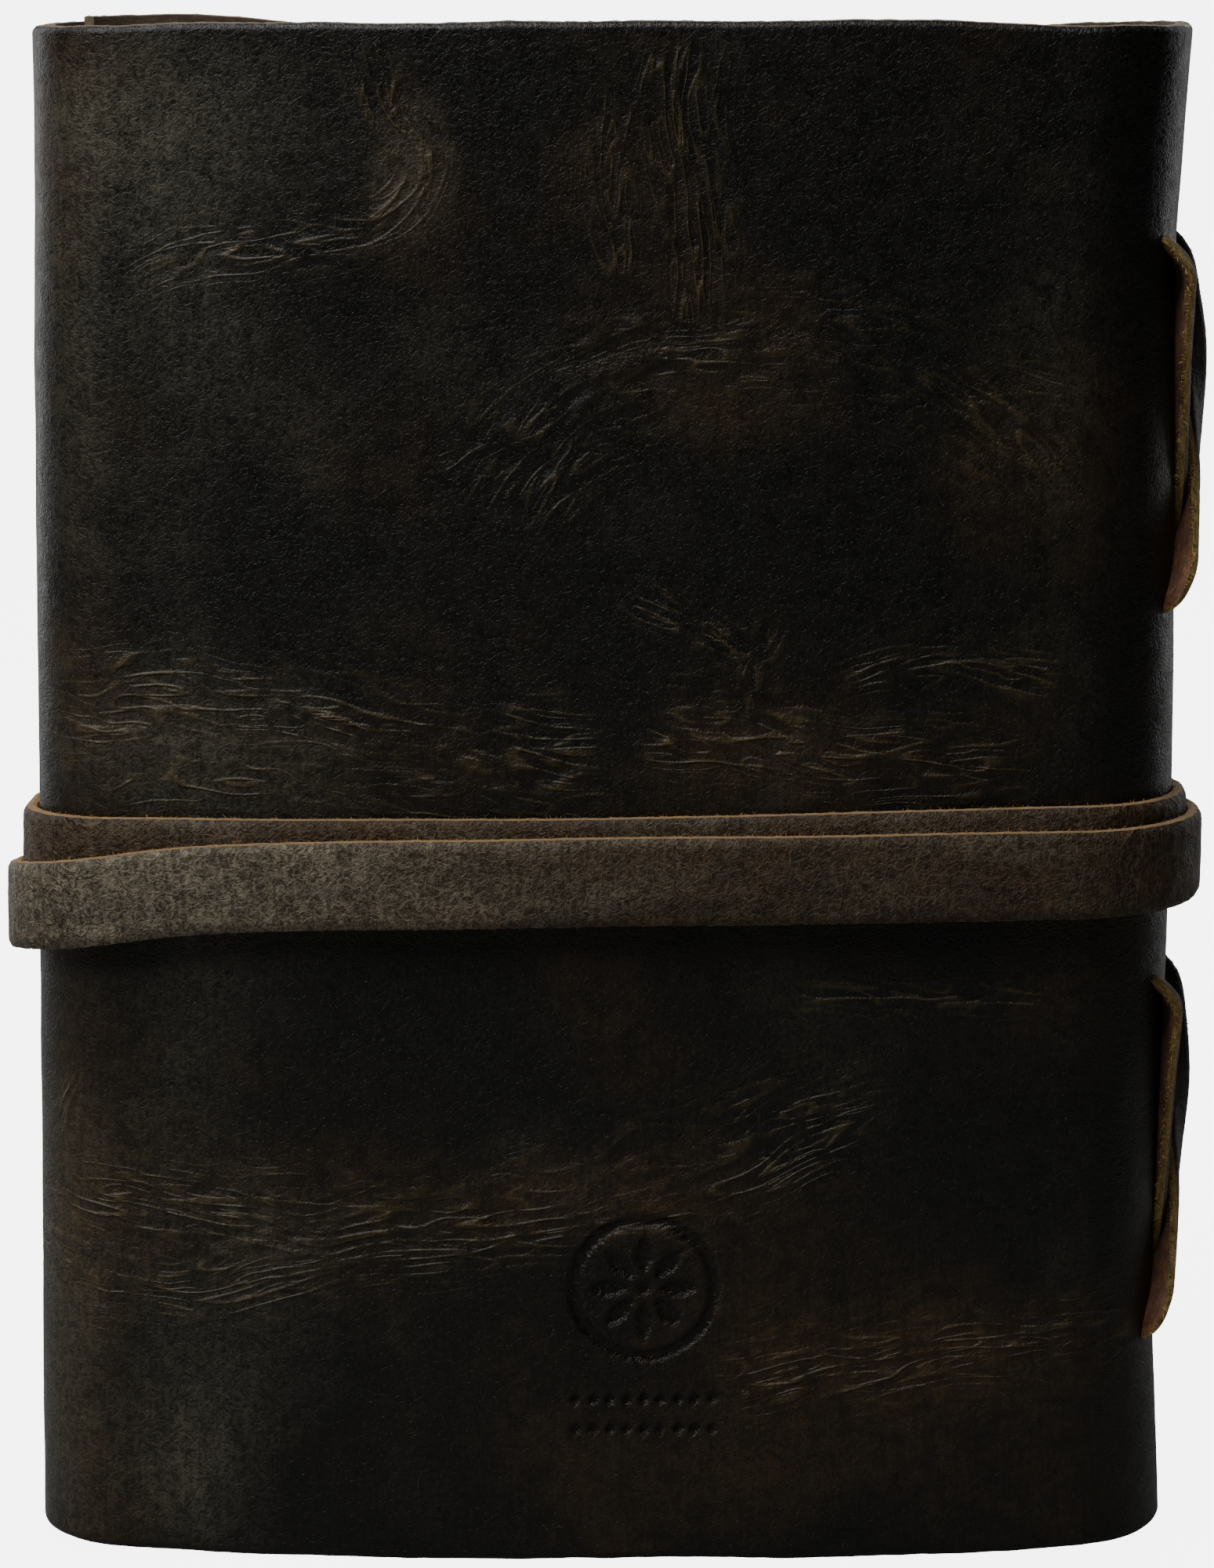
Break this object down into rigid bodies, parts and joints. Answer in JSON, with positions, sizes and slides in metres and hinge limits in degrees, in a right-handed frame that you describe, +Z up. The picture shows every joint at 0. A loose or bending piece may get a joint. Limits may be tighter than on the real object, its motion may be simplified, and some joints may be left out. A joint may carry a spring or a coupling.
{
  "type": "leather notebook cover",
  "caption": "Soft leather wrap journal cover with a fore-edge flap, a long strap wound round it, laced spine and two sewn-in paper sections.",
  "frame": {"origin": "bottom centre of the closed journal's box, where it stands on its lower edges", "axes": "+Z up the spine, +X towards the spine, -X towards the fore-edge, -Y out of the back cover, +Y out of the flap"},
  "size_m": [0.1584, 0.0402, 0.203],
  "materials": {
    "hide": "dark brown oiled pull-up leather, satin",
    "strap": "worn grey-brown grain with raw tan edges",
    "thong": "rough brown split, fuzzy tan edges",
    "paper": "uncoated handmade cotton paper"
  },
  "bodies": {
    "journal": {"back_cover": "hide", "spine_panel": "hide", "section_1_fold": "paper", "section_2_fold": "paper", "section_2_rear_leaves": "paper", "upper_thong_over": "thong", "upper_thong_under": "thong", "lower_thong_over": "thong", "lower_thong_under": "thong"},
    "front_cover_body": {"front_cover": "hide"},
    "section_1_front_body": {"section_1_front_leaves": "paper"},
    "section_1_rear_body": {"section_1_rear_leaves": "paper"},
    "section_2_front_body": {"section_2_front_leaves": "paper"},
    "foreedge_body": {"foreedge_wrap": "hide"},
    "flap_body": {"flap": "hide", "strap_root": "strap"},
    "strap_spine_1_link": {"strap_spine_1": "strap"},
    "strap_back_1_link": {"strap_back_1": "strap"},
    "strap_foreedge_1_link": {"strap_foreedge_1": "strap"},
    "strap_front_link": {"strap_front": "strap"},
    "strap_spine_2_link": {"strap_spine_2": "strap"},
    "strap_back_2_link": {"strap_back_2": "strap"},
    "strap_foreedge_2_link": {"strap_foreedge_2": "strap"},
    "strap_tail_link": {"strap_tail": "strap"}
  },
  "joints": [
    {"name": "front_cover_opening", "type": "hinge", "parent": "journal", "child": "front_cover_body", "pos_m": [0.07075, 0.00885, 0.1], "axis": [0, 0, -1], "range_deg": [0, 160]},
    {"name": "section_1_front_turn", "type": "hinge", "parent": "journal", "child": "section_1_front_body", "pos_m": [0.062, 0.0095, 0.1], "axis": [0, 0, -1], "range_deg": [0, 153]},
    {"name": "section_1_rear_lift", "type": "hinge", "parent": "journal", "child": "section_1_rear_body", "pos_m": [0.058, 0.0043, 0.1], "axis": [0, 0, -1], "range_deg": [0, 14]},
    {"name": "section_2_front_lift", "type": "hinge", "parent": "journal", "child": "section_2_front_body", "pos_m": [0.058, -0.0016, 0.1], "axis": [0, 0, -1], "range_deg": [0, 6]},
    {"name": "foreedge_unwrap", "type": "hinge", "parent": "journal", "child": "foreedge_body", "pos_m": [-0.0706, -0.0115, 0.1], "axis": [0, 0, 1], "range_deg": [0, 90], "deforming": ["foreedge_wrap"]},
    {"name": "flap_unfold", "type": "hinge", "parent": "foreedge_body", "child": "flap_body", "pos_m": [-0.0706, 0.0115, 0.1], "axis": [0, 0, 1], "range_deg": [0, 90], "deforming": ["flap"]},
    {"name": "strap_unwind_1", "type": "hinge", "parent": "flap_body", "child": "strap_spine_1_link", "pos_m": [0.07157, 0.00967, 0.1], "axis": [0, 0, 1], "range_deg": [0, 55], "deforming": ["strap_spine_1", "strap_root"]},
    {"name": "strap_unwind_2", "type": "hinge", "parent": "strap_spine_1_link", "child": "strap_back_1_link", "pos_m": [0.07157, -0.01247, 0.1], "axis": [0, 0, 1], "range_deg": [0, 55], "deforming": ["strap_back_1"]},
    {"name": "strap_unwind_3", "type": "hinge", "parent": "strap_back_1_link", "child": "strap_foreedge_1_link", "pos_m": [-0.0723, -0.0132, 0.1], "axis": [0, 0, 1], "range_deg": [0, 55], "deforming": ["strap_foreedge_1"]},
    {"name": "strap_unwind_4", "type": "hinge", "parent": "strap_foreedge_1_link", "child": "strap_front_link", "pos_m": [-0.0723, 0.0132, 0.1], "axis": [0, 0, 1], "range_deg": [0, 55], "deforming": ["strap_front"]},
    {"name": "strap_unwind_5", "type": "hinge", "parent": "strap_front_link", "child": "strap_spine_2_link", "pos_m": [0.07305, 0.01115, 0.1], "axis": [0, 0, 1], "range_deg": [0, 55], "deforming": ["strap_spine_2"]},
    {"name": "strap_unwind_6", "type": "hinge", "parent": "strap_spine_2_link", "child": "strap_back_2_link", "pos_m": [0.07305, -0.01395, 0.1], "axis": [0, 0, 1], "range_deg": [0, 55], "deforming": ["strap_back_2"]},
    {"name": "strap_unwind_7", "type": "hinge", "parent": "strap_back_2_link", "child": "strap_foreedge_2_link", "pos_m": [-0.07378, -0.01468, 0.1], "axis": [0, 0, 1], "range_deg": [0, 55], "deforming": ["strap_foreedge_2"]},
    {"name": "strap_unwind_8", "type": "hinge", "parent": "strap_foreedge_2_link", "child": "strap_tail_link", "pos_m": [-0.07378, 0.01468, 0.1], "axis": [0, 0, 1], "range_deg": [0, 55], "deforming": ["strap_tail"]}
  ],
  "couplings": [
    {"joint": "section_1_front_turn", "follows": "front_cover_opening", "ratio": 0.95625},
    {"joint": "section_1_rear_lift", "follows": "front_cover_opening", "ratio": 0.0875},
    {"joint": "section_2_front_lift", "follows": "front_cover_opening", "ratio": 0.0375},
    {"joint": "foreedge_unwrap", "follows": "front_cover_opening", "ratio": 0.5625},
    {"joint": "flap_unfold", "follows": "front_cover_opening", "ratio": 0.5625},
    {"joint": "strap_unwind_1", "follows": "front_cover_opening", "ratio": 0.34375},
    {"joint": "strap_unwind_2", "follows": "front_cover_opening", "ratio": 0.34375},
    {"joint": "strap_unwind_3", "follows": "front_cover_opening", "ratio": 0.34375},
    {"joint": "strap_unwind_4", "follows": "front_cover_opening", "ratio": 0.34375},
    {"joint": "strap_unwind_5", "follows": "front_cover_opening", "ratio": 0.34375},
    {"joint": "strap_unwind_6", "follows": "front_cover_opening", "ratio": 0.34375},
    {"joint": "strap_unwind_7", "follows": "front_cover_opening", "ratio": 0.34375},
    {"joint": "strap_unwind_8", "follows": "front_cover_opening", "ratio": 0.34375}
  ]
}
